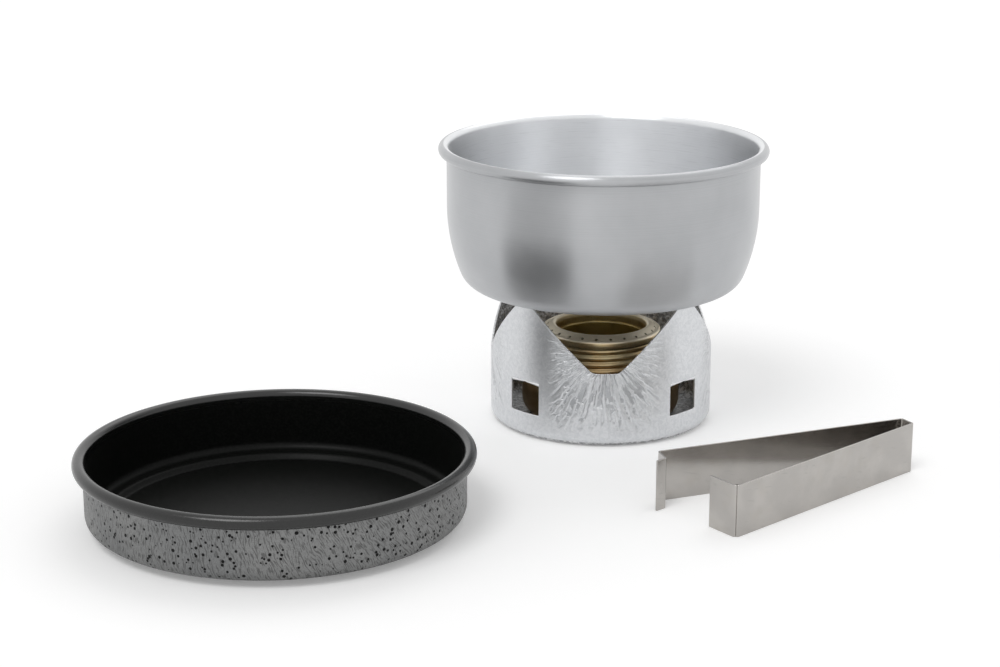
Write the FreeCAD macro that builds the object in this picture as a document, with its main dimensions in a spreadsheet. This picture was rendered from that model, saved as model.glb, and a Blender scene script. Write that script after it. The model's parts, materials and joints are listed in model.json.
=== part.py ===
import FreeCAD, Part
import math
import os
import Sketcher

# Spirit stove kit: a pressed stand with its brass burner, a saucepan standing on it,
# and the frying pan (also the lid) and folded gripper handle standing beside it.
# Millimetres, Z up. The origin is the centre of the stand's underside, front is -Y.

doc = FreeCAD.newDocument("SpiritStoveKit")
sheet = doc.addObject("Spreadsheet::Sheet", "Sizes")

SIZES = [
    ("seat_gap", "0.3", "running gap between pieces that lift apart"),
    # stand
    ("stand_radius", "51.1", "outer radius of the pressed cup"),
    ("stand_height", "63", "floor to the tops of the four lobes"),
    ("stand_sheet", "1", "sheet thickness"),
    ("stand_corner", "5", "outer radius of the bottom corner"),
    ("notch_floor", "34.5", "height of the flat bottom of each V notch"),
    ("notch_flat", "12", "width of that flat bottom"),
    ("lobe_top", "7", "width of a lobe at its top, along the wall"),
    ("window_low", "12", "lower edge of the square windows"),
    ("window_high", "26", "upper edge of the square windows"),
    ("window_width", "17", "width of the windows"),
    ("tongue_bend", "1", "inner bend radius of the tongues"),
    ("tongue_drop", "1.5", "how far a tongue's tip hangs below its root"),
    ("tongue_gap", "0.5", "gap between a tongue's tip and the burner's bowl"),
    # burner
    ("brass", "0.8", "sheet thickness of the burner"),
    ("bowl_radius", "36.5", "outer radius of the fuel bowl"),
    ("bowl_corner", "8", "outer radius of the bowl's bottom corner"),
    ("bowl_height", "23.2", "height of the bowl's shoulder, where the neck starts"),
    ("shoulder_flat", "1.1", "width of the flat ring between shoulder and neck"),
    ("neck_radius", "25.9", "outer radius of the neck between the threads"),
    ("neck_height", "39.7", "height of the neck's upper edge"),
    ("thread_start", "3.2", "height of the lowest thread crest above the shoulder"),
    ("thread_end", "1.9", "distance from the highest crest up to the ring's skirt"),
    ("ring_seat", "1.8", "how far the ring's skirt reaches down over the neck"),
    ("skirt_gap", "0.8", "gap between the neck and the ring's skirt"),
    ("ring_skirt", "1.4", "height of the ring's outer skirt"),
    ("wick_room", "3.7", "neck's outside to the centre of the ring's inner bend"),
    ("ring_rise", "2.5", "rise of the sloping shoulder"),
    ("ring_bend", "1.2", "outer radius of both bends"),
    ("ring_ledge", "1", "depth of the inner ledge below the skirt"),
    ("jet_inset", "1.4", "how far the circle of jets lies inside the outer bend"),
    ("jet_hole", "0.7", "radius of one jet"),
    ("foot_hole", "2", "radius of a fuel hole at the inner wall's foot"),
    ("foot_rise", "4.5", "height of those holes"),
    ("wick_gap", "0.3", "gap on either side of the wick"),
    ("wick_drop", "3.3", "how far the wick ends below the inner wall's top"),
    # saucepan
    ("pot_radius", "71.2", "outer radius of the saucepan's wall"),
    ("pot_sheet", "1", "sheet thickness"),
    ("pot_curve", "83.1", "radius of the lower wall's long curve"),
    ("pot_sweep", "21.85", "angle of that curve in degrees"),
    ("pot_corner", "10.2", "radius of the bottom corner"),
    ("pot_rim", "63.1", "height of the rolled rim's centre"),
    ("pot_roll", "2.4", "radius of the rolled rim"),
    # frying pan
    ("pan_radius", "77.8", "outer radius of the frying pan's wall"),
    ("pan_sheet", "1.2", "sheet thickness"),
    ("pan_border", "4.6", "width of the raised border, with its slope"),
    ("pan_step", "2.5", "height of the step round the flat bottom"),
    ("pan_slope", "2", "width of the slope up that step"),
    ("pan_corner", "4.5", "radius of the outer corner"),
    ("pan_rim", "27.5", "height of the rolled rim's centre"),
    ("pan_roll", "2.65", "radius of the rolled rim"),
    ("pan_place_x", "-138.1", "where the pan stands"),
    ("pan_place_y", "-138.1", "where the pan stands"),
    # handle
    ("strip", "1", "thickness of the handle's strip"),
    ("strip_height", "22", "width of the strip, upright as it stands"),
    ("long_arm", "117", "length of the longer arm"),
    ("long_turn", "201.8", "direction of the longer arm in degrees"),
    ("short_arm", "115.7", "length of the shorter arm"),
    ("arm_spread", "21.7", "angle between the arms in degrees"),
    ("bow_width", "7.4", "width of the bow between the arms"),
    ("bow_turn", "97.8", "direction of the bow from the longer arm in degrees"),
    ("long_flange", "9", "length of the longer arm's jaw"),
    ("long_flange_turn", "83.7", "direction of that jaw from its arm"),
    ("lip", "4.8", "length of the lip on that jaw"),
    ("lip_turn", "19.6", "direction of the lip from its arm"),
    ("short_flange", "15.3", "length of the shorter arm's jaw"),
    ("short_flange_turn", "-97.1", "direction of that jaw from its arm"),
    ("handle_place_x", "127.7", "where the bow's bend stands"),
    ("handle_place_y", "-75.15", "where the bow's bend stands"),
]

DERIVED = [
    ("burner_base", "stand_sheet + seat_gap"),
    ("stand_inner", "stand_radius - stand_sheet"),
    # the V's straight edge on the wall, seen square from the front
    ("notch_foot_x", "stand_radius * sin(180 deg * notch_flat / 2 / pi / stand_radius)"),
    ("lobe_arc", "pi * stand_radius / 4 - lobe_top / 2"),
    ("lobe_angle", "180 deg * lobe_arc / pi / stand_radius"),
    ("middle_angle", "180 deg * (lobe_arc + notch_flat / 2) / 2 / pi / stand_radius"),
    ("lobe_x", "stand_radius * sin(lobe_angle)"),
    ("middle_x", "stand_radius * sin(middle_angle)"),
    ("middle_z", "(stand_height + notch_floor) / 2"),
    ("edge_run", "sqrt((lobe_x - notch_foot_x)^2 + (stand_height - notch_floor)^2)"),
    ("edge_sag", "((middle_x - notch_foot_x) * (stand_height - notch_floor)"
     " - (middle_z - notch_floor) * (lobe_x - notch_foot_x)) / edge_run"),
    ("edge_curve", "edge_run^2 / 8 / edge_sag + edge_sag / 2"),
    ("window_half", "window_width / 2"),
    ("tongue_root", "stand_inner - tongue_bend"),
    ("tongue_tip", "bowl_radius + tongue_gap"),
    ("tongue_top", "window_high + stand_sheet + tongue_bend"),
    ("tongue_half", "asin((window_half - 0.2) / stand_radius)"),
    # the bowl's shoulder and the thread fill what the neck leaves
    ("shoulder_room", "bowl_height - bowl_corner - 1"),
    ("bowl_shoulder", "min(bowl_radius - neck_radius - shoulder_flat; shoulder_room)"),
    ("bowl_side", "bowl_height - bowl_shoulder"),
    ("thread_first", "bowl_height + thread_start"),
    ("thread_last", "neck_height - ring_seat - thread_end"),
    ("thread_pitch", "(thread_last - thread_first) / 3"),
    ("thread_half", "thread_pitch * 0.34375"),
    ("thread_curve", "thread_half * 1.051"),
    # the sloping shoulder of the jet ring
    ("ring_base", "burner_base + neck_height - ring_seat"),
    ("ring_edge", "neck_radius + skirt_gap - ring_bend + brass"),
    ("ring_lip", "neck_radius - wick_room"),
    ("jet_circle", "ring_edge - jet_inset"),
    ("ring_slope", "atan(ring_rise / (ring_edge - ring_lip))"),
    ("ring_sine", "sin(ring_slope)"),
    ("ring_cosine", "cos(ring_slope)"),
    ("ring_high", "ring_skirt + ring_rise"),
    ("ring_inner_bend", "ring_bend - brass"),
    ("mouth_radius", "ring_lip - ring_bend"),
    ("tube_outer", "mouth_radius"),
    ("tube_inner", "tube_outer - brass"),
    ("tube_base", "burner_base + brass"),
    ("tube_height", "ring_base - ring_ledge - brass - tube_base"),
    ("wick_inner", "tube_outer + wick_gap"),
    ("wick_outer", "neck_radius - brass - wick_gap"),
    ("wick_height", "tube_height - wick_drop"),
    ("bowl_shoulder_top", "bowl_side + bowl_shoulder"),
    ("bowl_shoulder_foot", "bowl_radius - bowl_shoulder"),
    # the saucepan's two curves meet on a common tangent
    ("pot_sine", "sin(pot_sweep * 1 deg)"),
    ("pot_cosine", "cos(pot_sweep * 1 deg)"),
    ("pot_flat", "pot_radius - pot_curve + (pot_curve - pot_corner) * pot_cosine"),
    ("pot_wall_foot", "(pot_curve - pot_corner) * pot_sine + pot_corner"),
    # it settles until its bottom, or the round corner, meets the tops of the lobes
    ("pot_overhang", "max(stand_inner - pot_flat; 0)"),
    ("pot_settle", "pot_corner - sqrt(pot_corner^2 - pot_overhang^2)"),
    ("pot_base", "stand_height + seat_gap - pot_settle"),
    ("pot_join_x", "pot_flat + pot_corner * pot_cosine"),
    ("pot_join_z", "pot_corner - pot_corner * pot_sine"),
    ("pot_inner_join_x", "pot_flat + (pot_corner - pot_sheet) * pot_cosine"),
    ("pot_inner_join_z", "pot_corner - (pot_corner - pot_sheet) * pot_sine"),
    ("pot_rim_x", "pot_radius - pot_sheet + pot_roll"),
    ("pan_rim_x", "pan_radius - pan_sheet + pan_roll"),
    ("pan_ledge", "pan_radius - pan_corner"),
    ("pan_flat", "pan_ledge - pan_border"),
    # the handle's two bends at its bow
    ("bow_plate", "bow_width - strip - seat_gap"),
    ("hinge_turn", "long_turn + bow_turn"),
    ("hinge_x", "handle_place_x + bow_width * cos(hinge_turn * 1 deg)"),
    ("hinge_y", "handle_place_y + bow_width * sin(hinge_turn * 1 deg)"),
    ("short_turn", "long_turn + arm_spread"),
    ("jaw_x", "long_flange * cos(long_flange_turn * 1 deg) + long_arm"),
    ("jaw_y", "long_flange * sin(long_flange_turn * 1 deg)"),
]

def rolled_rim(rim_x, rim_z, roll, thick):
    """Corners of a rolled edge: over the top inside the roll, then back outside it."""
    inner = "(%s - %s)" % (roll, thick)
    corners = [
        ("%s - %s" % (rim_x, inner), rim_z),
        (rim_x, "%s + %s" % (rim_z, inner), inner, -1),
        ("%s + %s" % (rim_x, inner), rim_z, inner, -1),
        (rim_x, "%s - %s" % (rim_z, inner), inner, -1),
        (rim_x, "%s - %s" % (rim_z, roll)),
        ("%s + %s" % (rim_x, roll), rim_z, roll, 1),
        (rim_x, "%s + %s" % (rim_z, roll), roll, 1),
        ("%s - %s" % (rim_x, roll), rim_z, roll, 1),
    ]
    return corners


def thread_crests(count):
    """Corners of the round crests up the burner's neck."""
    corners = []
    for crest in range(count):
        middle = "thread_first + %d * thread_pitch" % crest
        corners.append(("neck_radius", middle + " - thread_half"))
        corners.append(("neck_radius", middle + " + thread_half", "thread_curve", 1))
    return corners


def strip_outline(length):
    """Corners of a plate seen on edge, with half-round ends."""
    return [
        (length, "0 - strip / 2"),
        (length + " + strip / 2", "0", "strip / 2", 1),
        (length, "strip / 2", "strip / 2", 1),
        ("0", "strip / 2"),
        ("0 - strip / 2", "0", "strip / 2", 1),
        ("0", "0 - strip / 2", "strip / 2", 1),
    ]


# Closed outlines, corner by corner. A corner is (across, up) as formulas of the sheet.
# A third and fourth entry make the edge that arrives there an arc: its radius, and +1
# where its centre is to the left of the way along it.
OUTLINES = {
    "stand_cup": [
        ("0", "0"),
        ("stand_radius - stand_corner", "0"),
        ("stand_radius", "stand_corner", "stand_corner", 1),
        ("stand_radius", "stand_height"),
        ("stand_inner", "stand_height"),
        ("stand_inner", "stand_corner"),
        ("stand_radius - stand_corner", "stand_sheet", "stand_corner - stand_sheet", -1),
        ("0", "stand_sheet"),
    ],
    "stand_notch": [
        ("0 - lobe_x", "stand_height + 6"),
        ("0 - lobe_x", "stand_height"),
        ("0 - notch_foot_x", "notch_floor", "edge_curve", 1),
        ("notch_foot_x", "notch_floor"),
        ("lobe_x", "stand_height", "edge_curve", 1),
        ("lobe_x", "stand_height + 6"),
    ],
    "stand_window": [
        ("0 - window_half", "window_low"),
        ("window_half", "window_low"),
        ("window_half", "tongue_top"),
        ("0 - window_half", "tongue_top"),
    ],
    "stand_tongue": [
        ("stand_radius", "tongue_top"),
        ("tongue_root", "window_high", "tongue_bend + stand_sheet", -1),
        ("tongue_tip", "window_high - tongue_drop"),
        ("tongue_tip", "window_high - tongue_drop + stand_sheet"),
        ("tongue_root", "window_high + stand_sheet"),
        ("stand_inner", "tongue_top", "tongue_bend", 1),
    ],
    "bowl_shell": [
        ("0", "0"),
        ("bowl_radius - bowl_corner", "0"),
        ("bowl_radius", "bowl_corner", "bowl_corner", 1),
        ("bowl_radius", "bowl_side"),
        ("bowl_shoulder_foot", "bowl_shoulder_top", "bowl_shoulder", 1),
        ("neck_radius", "bowl_shoulder_top"),
    ] + thread_crests(4) + [
        ("neck_radius", "neck_height"),
        ("neck_radius - brass", "neck_height"),
        ("neck_radius - brass", "bowl_shoulder_top - brass"),
        ("bowl_shoulder_foot", "bowl_shoulder_top - brass"),
        ("bowl_radius - brass", "bowl_side", "bowl_shoulder - brass", -1),
        ("bowl_radius - brass", "bowl_corner"),
        ("bowl_radius - bowl_corner", "brass", "bowl_corner - brass", -1),
        ("0", "brass"),
    ],
    "ring_shell": [
        ("ring_edge + ring_bend", "0"),
        ("ring_edge + ring_bend", "ring_skirt"),
        ("ring_edge + ring_bend * ring_sine", "ring_skirt + ring_bend * ring_cosine",
         "ring_bend", 1),
        ("ring_lip + ring_bend * ring_sine", "ring_high + ring_bend * ring_cosine"),
        ("mouth_radius", "ring_high", "ring_bend", 1),
        ("mouth_radius", "0 - ring_ledge"),
        ("tube_inner", "0 - ring_ledge"),
        ("tube_inner", "0 - ring_ledge - brass"),
        ("mouth_radius + brass", "0 - ring_ledge - brass"),
        ("mouth_radius + brass", "ring_high"),
        ("ring_lip + ring_inner_bend * ring_sine",
         "ring_high + ring_inner_bend * ring_cosine", "ring_inner_bend", -1),
        ("ring_edge + ring_inner_bend * ring_sine",
         "ring_skirt + ring_inner_bend * ring_cosine"),
        ("ring_edge + ring_inner_bend", "ring_skirt", "ring_inner_bend", -1),
        ("ring_edge + ring_inner_bend", "0"),
    ],
    "wall_tube": [
        ("tube_inner", "0"),
        ("tube_outer", "0"),
        ("tube_outer", "tube_height"),
        ("tube_inner", "tube_height"),
    ],
    "wick_sleeve": [
        ("wick_inner", "0"),
        ("wick_outer", "0"),
        ("wick_outer", "wick_height"),
        ("wick_inner", "wick_height"),
    ],
    "pot_shell": [
        ("0", "0"),
        ("pot_flat", "0"),
        ("pot_join_x", "pot_join_z", "pot_corner", 1),
        ("pot_radius", "pot_wall_foot", "pot_curve", 1),
    ] + rolled_rim("pot_rim_x", "pot_rim", "pot_roll", "pot_sheet") + [
        ("pot_radius - pot_sheet", "pot_wall_foot"),
        ("pot_inner_join_x", "pot_inner_join_z", "pot_curve - pot_sheet", -1),
        ("pot_flat", "pot_sheet", "pot_corner - pot_sheet", -1),
        ("0", "pot_sheet"),
    ],
    "pan_shell": [
        ("0", "0"),
        ("pan_flat", "0"),
        ("pan_flat + pan_slope", "pan_step"),
        ("pan_ledge", "pan_step"),
        ("pan_radius", "pan_step + pan_corner", "pan_corner", 1),
    ] + rolled_rim("pan_rim_x", "pan_rim", "pan_roll", "pan_sheet") + [
        ("pan_radius - pan_sheet", "pan_step + pan_corner"),
        ("pan_ledge", "pan_step + pan_sheet", "pan_corner - pan_sheet", -1),
        ("pan_flat + pan_slope - pan_sheet / 2", "pan_step + pan_sheet"),
        ("pan_flat - pan_sheet / 2", "pan_sheet"),
        ("0", "pan_sheet"),
    ],
    "long_plate": strip_outline("long_arm"),
    "bow_end": strip_outline("bow_plate"),
    "long_jaw": strip_outline("long_flange"),
    "jaw_lip": strip_outline("lip"),
    "short_plate": strip_outline("short_arm"),
    "short_jaw": strip_outline("short_flange"),
}

rows = {"next": 1}


def write_row(alias, content, note=""):
    """One named size in the sheet."""
    row = rows["next"]
    rows["next"] = row + 1
    sheet.set("A%d" % row, alias)
    sheet.set("B%d" % row, content)
    sheet.set("C%d" % row, note)
    sheet.setAlias("B%d" % row, alias)


for alias, value, note in SIZES:
    write_row(alias, value, note)
for alias, formula in DERIVED:
    write_row(alias, "=" + formula)
for outline, corners in OUTLINES.items():
    for number, corner in enumerate(corners, start=1):
        write_row("%s_x%d" % (outline, number), "=" + corner[0])
        write_row("%s_y%d" % (outline, number), "=" + corner[1])
        if len(corner) > 2:
            write_row("%s_radius%d" % (outline, number), "=" + corner[2])
doc.recompute()


def size(alias):
    """Number behind a name in the sheet (degrees for an angle)."""
    value = sheet.get(alias)
    return float(getattr(value, "Value", value))


def origin_plane(body, role):
    for feature in body.Origin.OriginFeatures:
        if feature.Role == role:
            return feature
    raise RuntimeError("no plane " + role)


def new_body(name):
    body = doc.addObject("PartDesign::Body", name)
    body.Label = name
    return body


def new_sketch(body, name, role="XZ_Plane"):
    sketch = body.newObject("Sketcher::SketchObject", name)
    sketch.AttachmentSupport = [(origin_plane(body, role), "")]
    sketch.MapMode = "FlatFace"
    return sketch


def minor_arc(start, end, radius, side):
    """Arc below half a turn; side +1 has its centre to the left of the way along it."""
    chord = end.sub(start)
    half = chord.Length / 2
    away = math.sqrt(max(radius * radius - half * half, 0.0))
    left = FreeCAD.Vector(-chord.y, chord.x, 0).normalize()
    centre = start.add(chord.multiply(0.5)).add(left.multiply(side * away))
    first = start if side > 0 else end
    last = end if side > 0 else start
    angle_a = math.atan2(first.y - centre.y, first.x - centre.x)
    angle_b = math.atan2(last.y - centre.y, last.x - centre.x)
    if angle_b < angle_a:
        angle_b += 2 * math.pi
    circle = Part.Circle(centre, FreeCAD.Vector(0, 0, 1), radius)
    return Part.ArcOfCircle(circle, angle_a, angle_b)


def bind(sketch, rule, alias):
    """Add a dimension that follows its name in the sheet."""
    index = sketch.addConstraint(rule)
    sketch.setExpression("Constraints[%d]" % index, "Sizes." + alias)


def closed_outline(sketch, name):
    """Draw a planned outline; every corner and radius follows its row in the sheet."""
    corners = OUTLINES[name]
    points = []
    for number in range(1, len(corners) + 1):
        across = size("%s_x%d" % (name, number))
        up = size("%s_y%d" % (name, number))
        points.append(FreeCAD.Vector(across, up, 0))
    ends = []
    for number, corner in enumerate(corners, start=1):
        start = FreeCAD.Vector(points[number - 2])
        end = FreeCAD.Vector(points[number - 1])
        if len(corner) == 2:
            edge = sketch.addGeometry(Part.LineSegment(start, end), False)
            ends.append((edge, 1, 2))
            continue
        radius_name = "%s_radius%d" % (name, number)
        arc = minor_arc(start, end, size(radius_name), corner[3])
        edge = sketch.addGeometry(arc, False)
        ends.append((edge, 1, 2) if corner[3] > 0 else (edge, 2, 1))
        bind(sketch, Sketcher.Constraint("Radius", edge, size(radius_name)), radius_name)
    for number, (edge, first, last) in enumerate(ends, start=1):
        following = ends[number % len(ends)]
        sketch.addConstraint(
            Sketcher.Constraint("Coincident", edge, last, following[0], following[1]))
        for kind, letter in (("DistanceX", "x"), ("DistanceY", "y")):
            alias = "%s_%s%d" % (name, letter, number)
            bind(sketch, Sketcher.Constraint(kind, -1, 1, edge, last, size(alias)), alias)


def hole_circle(sketch, radius, across="", up=""):
    """A circle on one of the sketch's axes; radius and place are names in the sheet."""
    centre = FreeCAD.Vector(size(across) if across else 0.0, size(up) if up else 0.0, 0)
    circle = Part.Circle(centre, FreeCAD.Vector(0, 0, 1), size(radius))
    edge = sketch.addGeometry(circle, False)
    bind(sketch, Sketcher.Constraint("Radius", edge, size(radius)), radius)
    for kind, value, alias in (("DistanceX", centre.x, across), ("DistanceY", centre.y, up)):
        rule = Sketcher.Constraint(kind, -1, 1, edge, 3, value)
        if alias:
            bind(sketch, rule, alias)
        else:
            sketch.addConstraint(rule)


def turn_about_axis(body, name, degrees=0):
    """Revolution of the outline of that name; its plane may be turned about the axis."""
    sketch = new_sketch(body, name + "_outline")
    if degrees:
        sketch.AttachmentOffset = FreeCAD.Placement(
            FreeCAD.Vector(0, 0, 0), FreeCAD.Rotation(FreeCAD.Vector(0, 1, 0), degrees))
    closed_outline(sketch, name)
    turned = body.newObject("PartDesign::Revolution", name)
    turned.Profile = sketch
    turned.ReferenceAxis = (sketch, ["V_Axis"])
    turned.Angle = 360
    body.Tip = turned
    return turned


def cut_away(body, name, sketch, length):
    """Pocket that must take material away; its direction is chosen by volume."""
    doc.recompute()
    before = body.Shape.Volume
    pocket = body.newObject("PartDesign::Pocket", name)
    pocket.Profile = sketch
    pocket.setExpression("Length", length)
    body.Tip = pocket
    doc.recompute()
    if pocket.Shape.isNull() or pocket.Shape.Volume > before - 0.01:
        pocket.Reversed = True
        doc.recompute()
    if pocket.Shape.Volume > before - 0.01:
        raise RuntimeError(name + " cuts nothing")
    return pocket


def repeat_round(body, name, originals, count):
    """Copies of features round the body's upright axis."""
    pattern = body.newObject("PartDesign::PolarPattern", name)
    pattern.Originals = originals
    pattern.Axis = (origin_plane(body, "Z_Axis"), [""])
    pattern.Angle = 360
    pattern.Occurrences = count
    body.Tip = pattern
    doc.recompute()
    return pattern


# ---- stand: one pressed cup with four V notches, four windows and four tongues ----

stand = new_body("stand")
turn_about_axis(stand, "stand_cup")

notch_outline = new_sketch(stand, "notch_outline")
closed_outline(notch_outline, "stand_notch")
notch = cut_away(stand, "notch", notch_outline, "Sizes.stand_radius + 5")
repeat_round(stand, "notches", [notch], 4)

window_outline = new_sketch(stand, "window_outline")
window_outline.AttachmentOffset = FreeCAD.Placement(
    FreeCAD.Vector(0, 0, 0), FreeCAD.Rotation(FreeCAD.Vector(0, 1, 0), 45))
closed_outline(window_outline, "stand_window")
window = cut_away(stand, "window", window_outline, "Sizes.stand_radius + 5")

tongue = turn_about_axis(stand, "stand_tongue", 45)
tongue.Midplane = True
tongue.setExpression("Angle", "2 * Sizes.tongue_half")
doc.recompute()
repeat_round(stand, "windows", [window, tongue], 4)

# ---- burner: drawn brass bowl with a threaded neck, jet ring, inner wall and wick ----

burner_bowl = new_body("burner_bowl")
turn_about_axis(burner_bowl, "bowl_shell")
burner_bowl.setExpression("Placement.Base.z", "Sizes.burner_base")

burner_jet_ring = new_body("burner_jet_ring")
turn_about_axis(burner_jet_ring, "ring_shell")
jet_outline = new_sketch(burner_jet_ring, "jet_outline", "XY_Plane")
hole_circle(jet_outline, "jet_hole", across="jet_circle")
jet = cut_away(burner_jet_ring, "jet", jet_outline, "20 mm")
repeat_round(burner_jet_ring, "jets", [jet], 24)
burner_jet_ring.setExpression("Placement.Base.z", "Sizes.ring_base")

burner_inner_wall = new_body("burner_inner_wall")
turn_about_axis(burner_inner_wall, "wall_tube")
foot_outline = new_sketch(burner_inner_wall, "foot_outline")
hole_circle(foot_outline, "foot_hole", up="foot_rise")
foot = cut_away(burner_inner_wall, "foot", foot_outline, "30 mm")
repeat_round(burner_inner_wall, "feet", [foot], 8)
burner_inner_wall.setExpression("Placement.Base.z", "Sizes.tube_base")

burner_wick = new_body("burner_wick")
turn_about_axis(burner_wick, "wick_sleeve")
burner_wick.setExpression("Placement.Base.z", "Sizes.tube_base")

# ---- saucepan: spun cup with a long curve, a round bottom corner and a rolled rim ----

saucepan = new_body("saucepan")
turn_about_axis(saucepan, "pot_shell")
saucepan.setExpression("Placement.Base.z", "Sizes.pot_base")

# ---- frying pan, which also closes the saucepan as its lid ----

frying_pan = new_body("frying_pan")
turn_about_axis(frying_pan, "pan_shell")
frying_pan.setExpression("Placement.Base.x", "Sizes.pan_place_x")
frying_pan.setExpression("Placement.Base.y", "Sizes.pan_place_y")

# ---- handle: one folded spring strip standing on edge, divided at its front bend ----


def strip_plate(body, name, base_x="", base_y="", turn=""):
    """Upright plate of the strip; half-round ends let plates join as bends."""
    sketch = new_sketch(body, name + "_outline", "XY_Plane")
    closed_outline(sketch, name)
    sketch.AttachmentOffset = FreeCAD.Placement(
        FreeCAD.Vector(0, 0, 0),
        FreeCAD.Rotation(FreeCAD.Vector(0, 0, 1), size(turn) if turn else 0))
    if base_x:
        sketch.setExpression("AttachmentOffset.Base.x", "Sizes." + base_x)
    if base_y:
        sketch.setExpression("AttachmentOffset.Base.y", "Sizes." + base_y)
    if turn:
        sketch.setExpression("AttachmentOffset.Rotation.Angle", "Sizes.%s * 1 deg" % turn)
    plate = body.newObject("PartDesign::Pad", name)
    plate.Profile = sketch
    plate.setExpression("Length", "Sizes.strip_height")
    body.Tip = plate
    doc.recompute()


def stand_up(body, place_x, place_y, turn):
    """Place of a handle arm on the ground, all three values from the sheet."""
    body.Placement = FreeCAD.Placement(
        FreeCAD.Vector(size(place_x), size(place_y), 0),
        FreeCAD.Rotation(FreeCAD.Vector(0, 0, 1), size(turn)))
    body.setExpression("Placement.Base.x", "Sizes." + place_x)
    body.setExpression("Placement.Base.y", "Sizes." + place_y)
    body.setExpression("Placement.Rotation.Angle", "Sizes.%s * 1 deg" % turn)


handle_long_arm = new_body("handle_long_arm")
strip_plate(handle_long_arm, "long_plate")
strip_plate(handle_long_arm, "bow_end", turn="bow_turn")
strip_plate(handle_long_arm, "long_jaw", base_x="long_arm", turn="long_flange_turn")
strip_plate(handle_long_arm, "jaw_lip", base_x="jaw_x", base_y="jaw_y", turn="lip_turn")
stand_up(handle_long_arm, "handle_place_x", "handle_place_y", "long_turn")

handle_short_arm = new_body("handle_short_arm")
strip_plate(handle_short_arm, "short_plate")
strip_plate(handle_short_arm, "short_jaw", base_x="short_arm", turn="short_flange_turn")
stand_up(handle_short_arm, "hinge_x", "hinge_y", "short_turn")

doc.recompute()

# ---- checks, then one STEP file for each piece ----

NODES = [stand, burner_bowl, burner_jet_ring, burner_inner_wall, burner_wick,
         saucepan, frying_pan, handle_long_arm, handle_short_arm]

for item in doc.Objects:
    for state in item.State:
        if state in ("Invalid", "Error"):
            raise RuntimeError("%s is %s" % (item.Name, state))
for body in NODES:
    if body.Shape.isNull() or not body.Shape.isValid():
        raise RuntimeError(body.Label + " has no valid shape")
    if len(body.Shape.Solids) != 1:
        raise RuntimeError("%s has %d solids" % (body.Label, len(body.Shape.Solids)))

os.makedirs("parts", exist_ok=True)
for body in NODES:
    body.Shape.exportStep("parts/%s.step" % body.Label)
    box = body.Shape.optimalBoundingBox()
    print("%-20s x %7.2f %7.2f  y %7.2f %7.2f  z %6.2f %6.2f  volume %.1f" % (
        body.Label, box.XMin, box.XMax, box.YMin, box.YMax, box.ZMin, box.ZMax,
        body.Shape.Volume))
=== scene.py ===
import json
import math
import bpy
import numpy as np
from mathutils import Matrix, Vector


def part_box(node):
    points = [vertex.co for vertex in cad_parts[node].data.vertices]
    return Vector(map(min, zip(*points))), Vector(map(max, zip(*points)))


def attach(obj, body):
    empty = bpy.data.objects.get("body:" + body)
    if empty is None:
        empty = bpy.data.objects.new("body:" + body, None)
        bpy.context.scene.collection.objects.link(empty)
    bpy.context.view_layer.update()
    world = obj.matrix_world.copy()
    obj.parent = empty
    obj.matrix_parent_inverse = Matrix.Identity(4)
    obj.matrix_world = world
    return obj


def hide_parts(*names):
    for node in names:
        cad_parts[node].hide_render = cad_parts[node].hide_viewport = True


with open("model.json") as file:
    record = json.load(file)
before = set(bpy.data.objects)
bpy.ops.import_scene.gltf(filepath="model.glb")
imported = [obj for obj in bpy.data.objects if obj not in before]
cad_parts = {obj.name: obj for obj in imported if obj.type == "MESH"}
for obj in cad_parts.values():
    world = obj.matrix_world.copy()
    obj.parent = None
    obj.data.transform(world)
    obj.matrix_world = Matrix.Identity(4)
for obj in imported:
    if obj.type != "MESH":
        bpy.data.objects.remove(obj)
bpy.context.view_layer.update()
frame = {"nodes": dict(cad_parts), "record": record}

# Looks of the spirit stove kit. Lengths in this file are millimetres, in the CAD frame,
# and become metres where a mesh is made.

MM = 0.001
SHARP = math.radians(38)

# ---- camera ----

camera_data = bpy.data.cameras.new("camera")
camera_data.sensor_width = 36.0
camera_data.lens = 81.07
camera_data.clip_start = 0.05
camera = bpy.data.objects.new("camera", camera_data)
camera.location = (-0.0469, -1.005, 0.328)
camera.rotation_euler = (math.radians(73.94), 0.0, 0.0)
bpy.context.scene.collection.objects.link(camera)
bpy.context.scene.camera = camera

# ---- places from the frame ----


def box_mm(node):
    """Lowest and highest corner of a CAD node at rest, in millimetres."""
    return [[round(value / MM, 3) for value in corner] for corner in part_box(node)]


# ---- material helpers ----


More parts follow.
